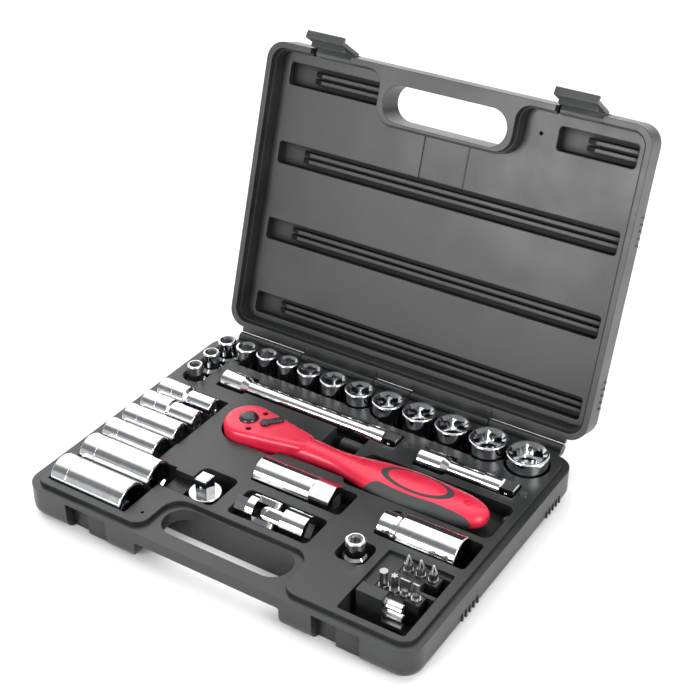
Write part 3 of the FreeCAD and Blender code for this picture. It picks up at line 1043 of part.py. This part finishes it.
for side, sign in (("left", "-"), ("right", "")):
    middle = f"{sign}latch_spread"
    recess = block(f"lid_latch_{side}",
                   (f"{middle} - latch_recess / 2", f"{LID_FRONT} - {OVER}", -OVER),
                   (f"{middle} + latch_recess / 2", f"{LID_FRONT} + latch_recess_depth",
                    "latch_recess_height"))
    lid_cuts.append(recess)
    panel_cuts.append(recess)
    lid_cuts.append(rod(f"lid_latch_bore_{side}", "latch_pin", PIN_LENGTH,
                        (f"{middle} - {PIN_LENGTH} / 2", LATCH_Y, LATCH_Z), LYING))
LID_TURN = FreeCAD.Rotation(BACKWARD, 90)
LID_AT = ("0", HINGE_Y, "rim_height")


def hang(label, item):
    finish(label, item, LID_AT, LID_TURN)
    bind(item, "Placement.Rotation.Angle", "lid_open_angle")


lid_knuckles = knuckles("lid_knuckle", LID_KNUCKLES, BASE_KNUCKLES, True)
STEP_START = "lid_depth - side_step_height"
lid_steps, lid_ribs = side_ribs("lid", LID_SHIFT, (STEP_START, f"lid_depth + {OVER}"),
                                (f"{STEP_START} - {OVER}", "lid_depth - rib_bottom"))
lid_whole = fuse("lid_whole", [lid_shell, *lid_knuckles])
hang("case_lid", fuse("lid", [cut("lid_hollowed", lid_whole, lid_cuts + lid_steps), *lid_ribs]))
hang("lid_panel", fuse("panel", [cut("panel_cut", panel_block, panel_cuts), *ridges]))
hang("latch_pins", compound("latch_pin_pair", [
    rod(f"latch_pin_{side}", "latch_pin", PIN_LENGTH,
        (f"{sign}latch_spread - {PIN_LENGTH} / 2", LATCH_Y, LATCH_Z), LYING)
    for side, sign in (("left", "-"), ("right", ""))]))
finish("hinge_pin", rod("hinge_pin_rod", "hinge_pin", "2 * hinge_half_length", (0, 0, 0)),
       ("-hinge_half_length", HINGE_Y, "rim_height"), LYING)

PLATE_IN = "(-latch_inset - latch_standoff)"
PLATE_OUT = f"({PLATE_IN} - latch_plate)"
LATCH_BOTTOM = "(-latch_pivot_height - latch_drop)"
HOOK_TOP = "(-latch_pivot_height - latch_lip - latch_hook_room)"
LATCH_HALF = "(latch_width / 2)"
for side, sign in (("left", "-"), ("right", "")):
    pieces = [
        rod(f"latch_barrel_{side}", "latch_barrel", "latch_width", (f"-{LATCH_HALF}", 0, 0), LYING),
        block(f"latch_web_{side}", (f"-{LATCH_HALF}", PLATE_OUT, "-latch_barrel / 2"),
              (LATCH_HALF, 0, "latch_barrel / 2")),
        block(f"latch_plate_{side}", (f"-{LATCH_HALF}", PLATE_OUT, LATCH_BOTTOM), (LATCH_HALF, PLATE_IN, 0)),
        block(f"latch_hook_{side}",
              (f"-{LATCH_HALF} + latch_hook_inset", f"{PLATE_IN} - 0.5", f"{HOOK_TOP} - latch_hook"),
              (f"{LATCH_HALF} - latch_hook_inset", f"{PLATE_IN} + latch_hook_reach", HOOK_TOP)),
        block(f"latch_tab_{side}", (f"-{LATCH_HALF}", f"{PLATE_OUT} - latch_tab_reach", LATCH_BOTTOM),
              (LATCH_HALF, f"{PLATE_OUT} + 0.5", f"{LATCH_BOTTOM} + latch_tab")),
    ]
    bore = rod(f"latch_bore_{side}", "latch_pin + 2 * latch_fit", f"latch_width + 2 * {OVER}",
               (f"-{LATCH_HALF} - {OVER}", 0, 0), LYING)
    body = cut(f"latch_body_{side}", fuse(f"latch_whole_{side}", pieces), [bore])
    latch = finish(f"latch_{side}", body,
                   (f"{sign}latch_spread",
                    f"{HINGE_Y} + {LATCH_Y} * cos(lid_open_angle) + {LATCH_Z} * sin(lid_open_angle)",
                    f"rim_height - {LATCH_Y} * sin(lid_open_angle) + {LATCH_Z} * cos(lid_open_angle)"),
                   LID_TURN)
    bind(latch, "Placement.Rotation.Angle", "lid_open_angle + latch_open_angle")

doc.recompute()
for item in doc.Objects:
    if "Invalid" in item.State or "Error" in item.State:
        raise RuntimeError(f"{item.Name} was not built: {item.State}")
for node in nodes:
    if node.Shape.isNull() or not node.Shape.isValid():
        raise RuntimeError(f"{node.Label} has no valid shape")

os.makedirs("parts", exist_ok=True)
for node in nodes:
    node.Shape.exportStep(f"parts/{node.Label}.step")
    print(node.Label, len(node.Shape.Solids), round(node.Shape.Volume))
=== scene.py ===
import bpy
import json
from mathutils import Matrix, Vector


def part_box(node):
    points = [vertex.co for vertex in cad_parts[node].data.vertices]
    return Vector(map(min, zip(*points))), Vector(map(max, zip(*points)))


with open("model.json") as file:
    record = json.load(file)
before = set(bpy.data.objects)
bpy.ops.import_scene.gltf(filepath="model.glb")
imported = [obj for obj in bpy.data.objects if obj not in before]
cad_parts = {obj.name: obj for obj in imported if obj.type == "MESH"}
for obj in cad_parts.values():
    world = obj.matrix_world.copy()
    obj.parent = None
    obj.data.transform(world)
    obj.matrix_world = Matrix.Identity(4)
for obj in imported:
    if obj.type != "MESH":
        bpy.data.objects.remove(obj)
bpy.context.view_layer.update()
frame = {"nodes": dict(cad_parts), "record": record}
nodes = frame["nodes"]
scene = bpy.context.scene
print("frame loaded:", len(nodes), "nodes")


def hexColour(text):
    # sRGB hex to linear RGBA
    values = [int(text[i:i + 2], 16) / 255 for i in (1, 3, 5)]
    linear = [v / 12.92 if v <= 0.04045 else ((v + 0.055) / 1.055) ** 2.4 for v in values]
    return (*linear, 1.0)


def perMm(size):
    # pattern scale from the real size of one cell, as object coordinates are metres
    return 1000.0 / size


def metres(millimetres):
    return millimetres / 1000


def addNode(tree, kind, settings=None, links=None):
    # a setting is a socket or a property of the node, a link leads to one of its sockets
    node = tree.nodes.new(kind)
    for key, value in (settings or {}).items():
        if isinstance(key, int) or key in node.inputs.keys():
            node.inputs[key].default_value = value
        else:
            setattr(node, key, value)
    for key, source in (links or {}).items():
        tree.links.new(source, node.inputs[key])
    return node


# for every finish: the part of the noise that the colours and the gloss follow, and the rays spent
finishLook = {"colourEnds": (0.35, 0.65), "glossEnds": (0.3, 0.7), "gritDetail": 2.0,
              "edgeSamples": 6, "hollowSamples": 4}


def startMaterial(name):
    material = bpy.data.materials.new(name)
    material.use_nodes = True
    tree = material.node_tree
    tree.nodes.clear()
    place = addNode(tree, "ShaderNodeTexCoord", {"name": "place"}).outputs["Object"]
    return material, tree, place


def makeFinish(name, look):
    # patches blend two colours and two ends of gloss, over a fine relief and eased edges
    material, tree, place = startMaterial(name)
    patches = addNode(tree, "ShaderNodeTexNoise",
                      {"Scale": perMm(look["patchMm"]), "Detail": look["patchDetail"],
                       "Distortion": look.get("patchDrag", 0.0)}, {"Vector": place}).outputs["Fac"]
    colour = addNode(tree, "ShaderNodeValToRGB", {"name": "colour"}, {"Fac": patches})
    ends = zip(colour.color_ramp.elements, finishLook["colourEnds"], look["colours"])
    for element, position, text in ends:
        element.position = position
        element.color = hexColour(text)
    fromLow, fromHigh = finishLook["glossEnds"]
    smooth, rough = look["roughness"]
    gloss = addNode(tree, "ShaderNodeMapRange",
                    {"name": "gloss", "From Min": fromLow, "From Max": fromHigh,
                     "To Min": smooth, "To Max": rough}, {"Value": patches})
    height = patches
    if "gritMm" in look:
        height = addNode(tree, "ShaderNodeTexNoise",
                         {"Scale": perMm(look["gritMm"]), "Detail": finishLook["gritDetail"]},
                         {"Vector": place}).outputs["Fac"]
    if "dimpleMm" in look:
        height = addNode(tree, "ShaderNodeTexVoronoi", {"Scale": perMm(look["dimpleMm"])},
                         {"Vector": place}).outputs["Distance"]
    relief = addNode(tree, "ShaderNodeBump",
                     {"name": "relief", "Strength": look["relief"],
                      "Distance": metres(look["reliefMm"])}, {"Height": height})
    if "edgeMm" in look:
        edge = addNode(tree, "ShaderNodeBevel",
                       {"name": "edge", "samples": finishLook["edgeSamples"],
                        "Radius": metres(look["edgeMm"])})
        tree.links.new(edge.outputs[0], relief.inputs["Normal"])
    shader = addNode(tree, "ShaderNodeBsdfPrincipled", {"name": "shader", **look["shader"]},
                     {"Base Color": colour.outputs["Color"], "Roughness": gloss.outputs[0],
                      "Normal": relief.outputs[0]})
    addNode(tree, "ShaderNodeOutputMaterial", links={"Surface": shader.outputs[0]})
    return material


def hollowMask(tree, reachMm, span, values):
    # how open a point is to the light, from its own piece alone, mapped to a range of values
    openness = addNode(tree, "ShaderNodeAmbientOcclusion",
                       {"samples": finishLook["hollowSamples"], "only_local": True,
                        "Distance": metres(reachMm)}).outputs["AO"]
    return addNode(tree, "ShaderNodeMapRange",
                   {"From Min": span[0], "From Max": span[1],
                    "To Min": values[0], "To Max": values[1]}, {"Value": openness}).outputs[0]


# blow-moulded polyethylene: dark grey, cloudy soft gloss, light on edges, with painted shade in the
# grooves where the specular level falls; the latches get paler colours as a painted sky reflection,
# and the walls are pebbled low down
caseLook = {"colours": ("#212223", "#282929"), "latchSheenColours": ("#3e3f40", "#484949"),
            "patchMm": 38, "patchDetail": 4.0, "roughness": (0.3, 0.44), "shader": {"IOR": 1.51},
            "gritMm": 0.9, "reliefMm": 0.05, "relief": 0.7, "edgeMm": 0.7, "ridgeMm": 1.2,
            "grooveMm": 12, "grooveSpan": (0.6, 0.97), "grooveShadeSpecular": (0.04, 0.5), "seamMm": 0.9,
            "pebbleMm": 2.2, "pebbleDepthMm": 0.3, "pebbleStrength": 0.8, "pebbleTopMm": 12.2}


def hideSeams(tree, axes, seams):
    # seams are (axis, place) pairs where two fields of one moulding meet, so no edge shows there
    nearby = None
    for axis, where in seams:
        test = addNode(tree, "ShaderNodeMath",
                       {"operation": "COMPARE", 1: where, 2: metres(caseLook["seamMm"])},
                       {0: axes[axis]}).outputs[0]
        if nearby:
            test = addNode(tree, "ShaderNodeMath", {"operation": "MAXIMUM"},
                           {0: nearby, 1: test}).outputs[0]
        nearby = test
    plain = addNode(tree, "ShaderNodeNewGeometry").outputs["Normal"]
    eased = tree.nodes["edge"].outputs[0]
    mix = addNode(tree, "ShaderNodeMix", {"data_type": "VECTOR"}, {0: nearby, 4: eased, 5: plain})
    tree.links.new(mix.outputs[1], tree.nodes["relief"].inputs["Normal"])


def pebbleWalls(tree, axes, place):
    cells = addNode(tree, "ShaderNodeTexVoronoi", {"Scale": perMm(caseLook["pebbleMm"])},
                    {"Vector": place})
    low = addNode(tree, "ShaderNodeMath",
                  {"operation": "LESS_THAN", 1: metres(caseLook["pebbleTopMm"])}, {0: axes["Z"]})
    height = addNode(tree, "ShaderNodeMath", {"operation": "MULTIPLY"},
                     {0: cells.outputs["Distance"], 1: low.outputs[0]})
    pebbles = addNode(tree, "ShaderNodeBump",
                      {"Strength": caseLook["pebbleStrength"],
                       "Distance": metres(caseLook["pebbleDepthMm"])},
                      {"Height": height.outputs[0], "Normal": tree.nodes["relief"].outputs[0]})
    tree.links.new(pebbles.outputs[0], tree.nodes["shader"].inputs["Normal"])


def mouldedPolyethylene(name, edge="edgeMm", colours="colours", seams=(), pebbled=False):
    look = {**caseLook, "edgeMm": caseLook[edge], "colours": caseLook[colours]}
    material = makeFinish(name, look)
    tree = material.node_tree
    # painted shade: the specular level falls where the piece hides its own grooves, so the hollows
    # darken
    gloss = hollowMask(tree, look["grooveMm"], look["grooveSpan"], look["grooveShadeSpecular"])
    tree.links.new(gloss, tree.nodes["shader"].inputs["Specular IOR Level"])
    place = tree.nodes["place"].outputs["Object"]
    axes = addNode(tree, "ShaderNodeSeparateXYZ", links={"Vector": place}).outputs
    if seams:
        hideSeams(tree, axes, seams)
    if pebbled:
        pebbleWalls(tree, axes, place)
    return material


# nickel and chrome plate on forged steel: a mirror with faint polishing smears, satin in the bores
chromeLook = {"colours": ("#d2d3d6", "#e2e3e5"), "patchMm": 7, "patchDetail": 4.0, "patchDrag": 0.6,
              "roughness": (0.03, 0.1), "shader": {"Metallic": 1.0}, "reliefMm": 0.02,
              "relief": 0.25, "boreMm": 12, "boreSpan": (0.3, 0.6), "boreRoughness": (0.32, 0.0)}


def polishedChromePlate():
    material = makeFinish("polishedChromePlate", chromeLook)
    tree = material.node_tree
    bore = hollowMask(tree, chromeLook["boreMm"], chromeLook["boreSpan"],
                      chromeLook["boreRoughness"])
    rougher = addNode(tree, "ShaderNodeMath", {"operation": "MAXIMUM"},
                      {0: tree.nodes["gloss"].outputs[0], 1: bore})
    tree.links.new(rougher.outputs[0], tree.nodes["shader"].inputs["Roughness"])
    return material


# sand-blasted tool steel of the bits and inner parts: light grey, even satin grain
bitLook = {"colours": ("#9d9d9f", "#bcbcbd"), "patchMm": 5, "patchDetail": 3.0,
           "roughness": (0.24, 0.38), "shader": {"Metallic": 1.0}, "gritMm": 0.4,
           "reliefMm": 0.03, "relief": 0.3}

# blackened steel of the pins and screws: dark blue-black oxide with a thin film of oil
oxideLook = {"colours": ("#1b1c1f", "#2a2b2e"), "patchMm": 4, "patchDetail": 3.0,
             "roughness": (0.28, 0.44), "shader": {"Metallic": 1.0}, "gritMm": 0.5,
             "reliefMm": 0.02, "relief": 0.2}

# injection-moulded polypropylene of the handle: clear red with a smooth satin skin
redLook = {"colours": ("#cf1f3e", "#da2746"), "patchMm": 26, "patchDetail": 2.0,
           "roughness": (0.26, 0.36), "shader": {"IOR": 1.49}, "gritMm": 1.2,
           "reliefMm": 0.04, "relief": 0.2, "edgeMm": 0.4}

# glass-filled nylon of lever and button: near black, a satin skin that catches small glints
nylonLook = {"colours": ("#17171a", "#232326"), "patchMm": 0.7, "patchDetail": 3.0,
             "roughness": (0.2, 0.34), "shader": {"IOR": 1.53},
             "reliefMm": 0.04, "relief": 0.25, "edgeMm": 0.3}

# nitrile sleeve inside the spark plug sockets: black, matt, with a faint bloom
sleeveLook = {"colours": ("#0e0e0f", "#1b1b1c"), "patchMm": 3, "patchDetail": 3.0,
              "roughness": (0.62, 0.8), "shader": {"IOR": 1.52}, "reliefMm": 0.1, "relief": 0.2}

# thermoplastic rubber moulded over the flanks, and the darker ring on top: dry, finely dimpled
gripLook = {"colours": ("#3b3d3d", "#342c31"), "patchMm": 10, "patchDetail": 3.0,
            "roughness": (0.55, 0.72), "shader": {"IOR": 1.5}, "dimpleMm": 0.8,
            "reliefMm": 0.08, "relief": 0.35, "ringHalfMm": 10.7}


def overmouldedRubber():
    # the second colour is the ring, which lies along the middle of the handle
    material = makeFinish("overmouldedRubber", gripLook)
    tree = material.node_tree
    low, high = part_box("ratchet_handle")
    middle = (low[1] + high[1]) / 2
    place = tree.nodes["place"].outputs["Object"]
    side = addNode(tree, "ShaderNodeSeparateXYZ", links={"Vector": place}).outputs["Y"]
    onTop = addNode(tree, "ShaderNodeMath",
                    {"operation": "COMPARE", 1: middle, 2: metres(gripLook["ringHalfMm"])},
                    {0: side}).outputs[0]
    tree.links.new(onTop, tree.nodes["colour"].inputs["Fac"])
    return material


traySeams = [("Y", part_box("tray_back")[0][1]), ("Y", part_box("tray_middle")[0][1]),
             ("X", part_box("tray_middle")[0][0]), ("X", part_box("tray_front")[0][0])]
looks = {
    "case": mouldedPolyethylene("mouldedPolyethylene"),
    "panel": mouldedPolyethylene("ridgedPolyethylene", edge="ridgeMm"),
    "shell": mouldedPolyethylene("pebbledPolyethylene", pebbled=True),
    # the latches' paler colours are a painted sky reflection on the case's own grey plastic
    "latch": mouldedPolyethylene("latchPaintedSheenPolyethylene", colours="latchSheenColours"),
    "tray": mouldedPolyethylene("trayPolyethylene", seams=traySeams),
    "chrome": polishedChromePlate(),
    "steel": makeFinish("blastedToolSteel", bitLook),
    "red": makeFinish("redPolypropylene", redLook),
    "grip": overmouldedRubber(),
    "black": makeFinish("blackNylon", nylonLook),
    "sleeve": makeFinish("nitrileRubber", sleeveLook),
    "dark": makeFinish("blackenedSteel", oxideLook),
}
print("materials made:", ", ".join(m.name for m in looks.values()))

# each node takes the look of its slot in the record, unless it has one of its own
slotOf = {entry["node"]: entry["material_slot"] for entry in frame["record"]["subparts"]}
ownLook = {"case_base": "shell", "lid_panel": "panel", "bit_rails": "case",
           "bit_rail_front": "case", "latch_left": "latch", "latch_right": "latch",
           "hinge_pin": "dark", "latch_pins": "dark", "ratchet_screws": "dark",
           **{name: "tray" for name in nodes if name.startswith("tray_")}}
for name, obj in nodes.items():
    obj.data.materials.clear()
    obj.data.materials.append(looks[ownLook.get(name, slotOf[name])])
print("nodes dressed")

# pale paper floor that runs past the view: matt, with a faint tooth
floorLook = {"half": 4.0, "colour": "#fafafa", "roughness": 0.8, "specularLevel": 0.2,
             "toothMm": 2, "toothDetail": 2.0, "toothDepthMm": 0.1, "toothStrength": 0.05}


def makeFloor():
    mesh = bpy.data.meshes.new("floor")
    h = floorLook["half"]
    mesh.from_pydata([(-h, -h, 0), (h, -h, 0), (h, h, 0), (-h, h, 0)], [], [(0, 1, 2, 3)])
    floor = bpy.data.objects.new("floor", mesh)
    scene.collection.objects.link(floor)
    material, tree, place = startMaterial("paperBackdrop")
    tooth = addNode(tree, "ShaderNodeTexNoise",
                    {"Scale": perMm(floorLook["toothMm"]), "Detail": floorLook["toothDetail"]},
                    {"Vector": place})
    relief = addNode(tree, "ShaderNodeBump",
                     {"Strength": floorLook["toothStrength"],
                      "Distance": metres(floorLook["toothDepthMm"])},
                     {"Height": tooth.outputs["Fac"]})
    shader = addNode(tree, "ShaderNodeBsdfPrincipled",
                     {"Base Color": hexColour(floorLook["colour"]),
                      "Roughness": floorLook["roughness"],
                      "Specular IOR Level": floorLook["specularLevel"]},
                     {"Normal": relief.outputs[0]})
    addNode(tree, "ShaderNodeOutputMaterial", links={"Surface": shader.outputs[0]})
    mesh.materials.append(material)


makeFloor()

# soft studio light: a bright dome that leans to the back left, a dim front, and two soft boxes
lightBoxes = {
    "rightBox": {"at": (1.4, -0.35, 0.8), "aim": (0.1, 0.05, 0.1), "size": (0.8, 0.7), "watts": 16},
    "frontBox": {"at": (-0.5, -1.7, 0.62), "aim": (0.1, 0.17, 0.18), "size": (1.0, 0.7),
                 "watts": 22},
}
domeLook = {"strength": 2.3, "lean": (-0.35, 0.6, 0.719),
            "steps": ((0.0, 0.3), (0.2, 0.1), (0.5, 0.14), (0.78, 1.0), (1.0, 1.0))}


def makeLights():
    for name, box in lightBoxes.items():
        light = bpy.data.lights.new(name, "AREA")
        light.shape = "RECTANGLE"
        light.size, light.size_y = box["size"]
        light.energy = box["watts"]
        lamp = bpy.data.objects.new(name, light)
        lamp.location = box["at"]
        lamp.visible_camera = False
        aim = Vector(box["aim"]) - Vector(box["at"])
        lamp.rotation_euler = aim.to_track_quat("-Z", "Y").to_euler()
        scene.collection.objects.link(lamp)


def makeDome():
    # the steps are (place from the dark side to the bright side, level of light)
    world = bpy.data.worlds.new("studio")
    world.use_nodes = True
    tree = world.node_tree
    tree.nodes.clear()
    skyward = addNode(tree, "ShaderNodeTexCoord").outputs["Generated"]
    lean = addNode(tree, "ShaderNodeVectorMath",
                   {"operation": "DOT_PRODUCT", 1: domeLook["lean"]}, {0: skyward})
    ramp = addNode(tree, "ShaderNodeValToRGB", links={"Fac": lean.outputs["Value"]})
    steps = ramp.color_ramp.elements
    while len(steps) < len(domeLook["steps"]):
        steps.new(0.5)
    for element, (position, level) in zip(steps, domeLook["steps"]):
        element.position = position
        element.color = (level, level, level, 1.0)
    sky = addNode(tree, "ShaderNodeBackground", {"Strength": domeLook["strength"]},
                  {"Color": ramp.outputs["Color"]})
    addNode(tree, "ShaderNodeOutputWorld", links={"Surface": sky.outputs[0]})
    scene.world = world


makeLights()
makeDome()
scene.view_settings.view_transform = "Standard"
print("floor and lights set")

# the photograph's viewing angle
cameraView = {"at": (0.44794, -0.64150, 0.62697), "toward": (-0.4526, 0.7100, -0.5395),
              "lens": 72.86, "sensor": 36}


def makeCamera():
    data = bpy.data.cameras.new("viewCamera")
    data.lens = cameraView["lens"]
    data.sensor_width = cameraView["sensor"]
    camera = bpy.data.objects.new("viewCamera", data)
    camera.location = cameraView["at"]
    camera.rotation_euler = Vector(cameraView["toward"]).to_track_quat("-Z", "Y").to_euler()
    scene.collection.objects.link(camera)
    scene.camera = camera


makeCamera()
print("camera set")
